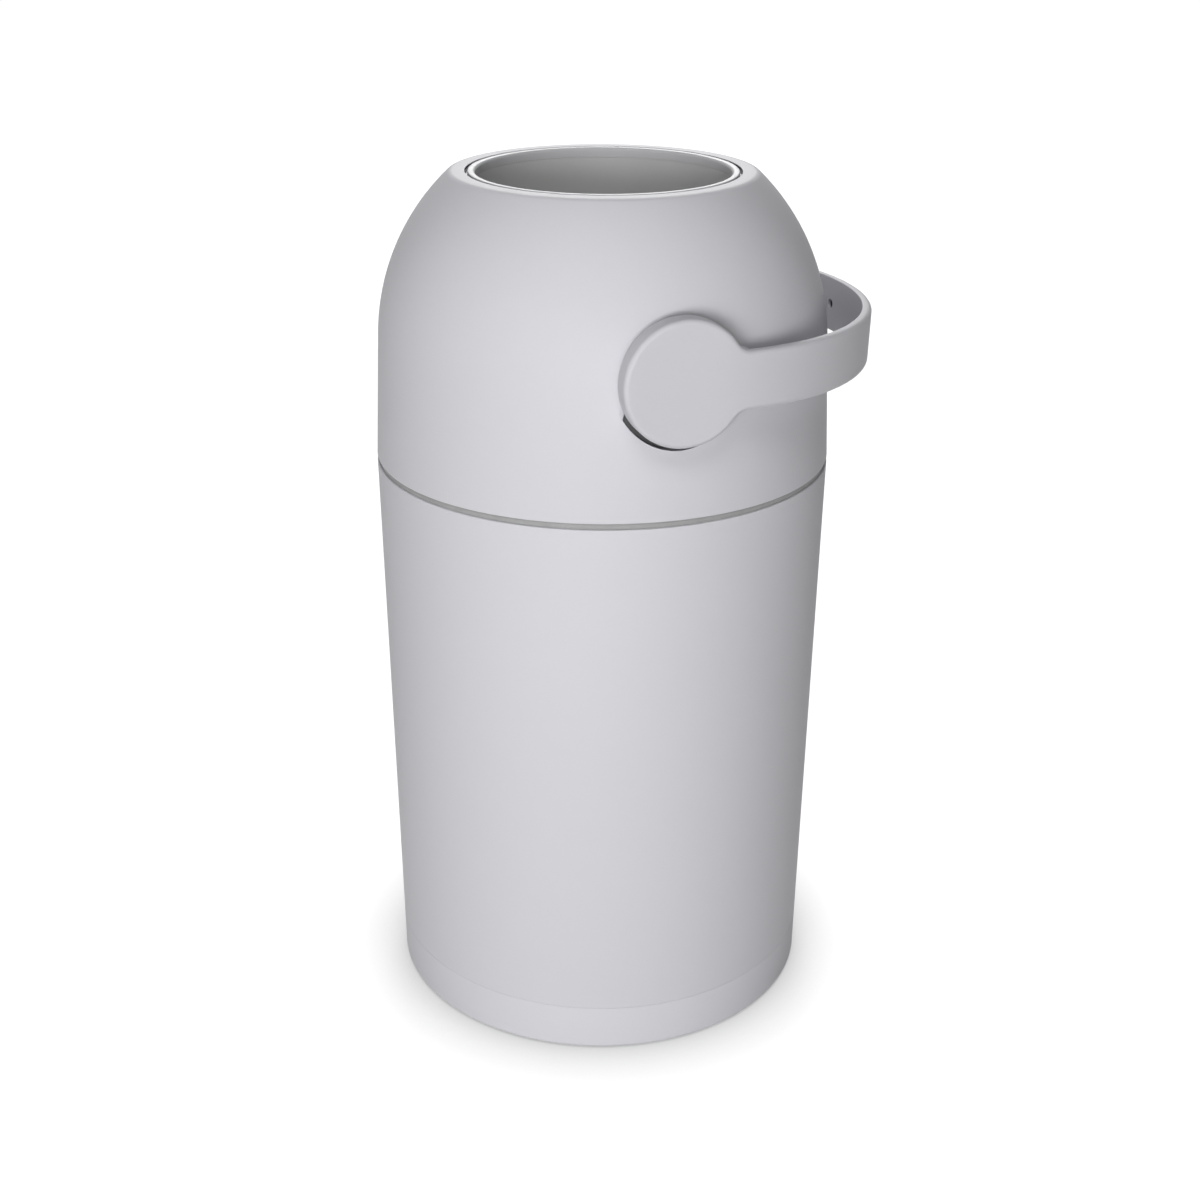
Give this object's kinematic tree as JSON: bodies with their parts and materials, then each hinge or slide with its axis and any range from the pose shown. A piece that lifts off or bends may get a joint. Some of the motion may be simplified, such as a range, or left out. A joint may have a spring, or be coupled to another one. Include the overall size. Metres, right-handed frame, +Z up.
{
  "type": "nappy bin",
  "caption": "Free-standing domed nappy bin: a U-shaped handle turns a ball-shaped drum with an open chute, and a loose piston empties it into the bucket below.",
  "frame": {"origin": "middle of the base cap's flat underside, on the floor", "axes": "+Z up; the drum turns about Y, with the front hub at -Y and the hinge of the top at +Y; the handle rests towards +X"},
  "size_m": [0.2983, 0.2924, 0.5208],
  "materials": {
    "body_plastic": "finely grained moulded plastic, light grey",
    "handle_plastic": "smooth moulded plastic, slightly darker light grey",
    "rim_plastic": "smooth moulded plastic, light grey",
    "drum_plastic": "smooth moulded plastic, light grey",
    "chute_plastic": "satin moulded plastic, mid grey",
    "inner_plastic": "moulded plastic, mid grey",
    "piston_plastic": "moulded plastic, mid grey",
    "gasket": "matt mid-grey rubber",
    "seal_rubber": "matt dark grey rubber",
    "bush_plastic": "natural white bearing plastic",
    "steel": "bright zinc-plated steel"
  },
  "bodies": {
    "bin": {"bucket": "body_plastic", "base_cap": "body_plastic", "grip_pads": "seal_rubber", "rim_gasket": "gasket", "bag_ring": "inner_plastic", "hinge_pin": "steel"},
    "top": {"dome": "body_plastic", "drum_cradle": "inner_plastic", "cradle_screws": "steel", "upper_drum_seal": "seal_rubber", "lower_drum_seal": "seal_rubber", "front_bush": "bush_plastic", "rear_bush": "bush_plastic"},
    "drum": {"handle": "handle_plastic", "front_spindle": "steel", "rear_spindle": "steel", "spindle_screws": "steel", "front_drum_shell": "drum_plastic", "rear_drum_shell": "drum_plastic", "chute": "chute_plastic", "upper_rim": "rim_plastic", "lower_rim": "rim_plastic"},
    "piston": {"piston_top": "piston_plastic", "piston_base": "piston_plastic", "piston_screw": "steel", "piston_weight": "steel", "piston_wipers": "seal_rubber"}
  },
  "joints": [
    {"name": "top_hinge", "type": "hinge", "parent": "bin", "child": "top", "pos_m": [0, 0.14299, 0.3513], "axis": [-1, 0, 0], "range_deg": [0, 100]},
    {"name": "drum_turn", "type": "hinge", "parent": "top", "child": "drum", "pos_m": [0, 0, 0.432], "axis": [0, -1, 0], "range_deg": [0, 180]},
    {"name": "piston_drop", "type": "slide", "parent": "drum", "child": "piston", "axis": [0, 0, 1], "range_m": [0, 0.131]}
  ]
}
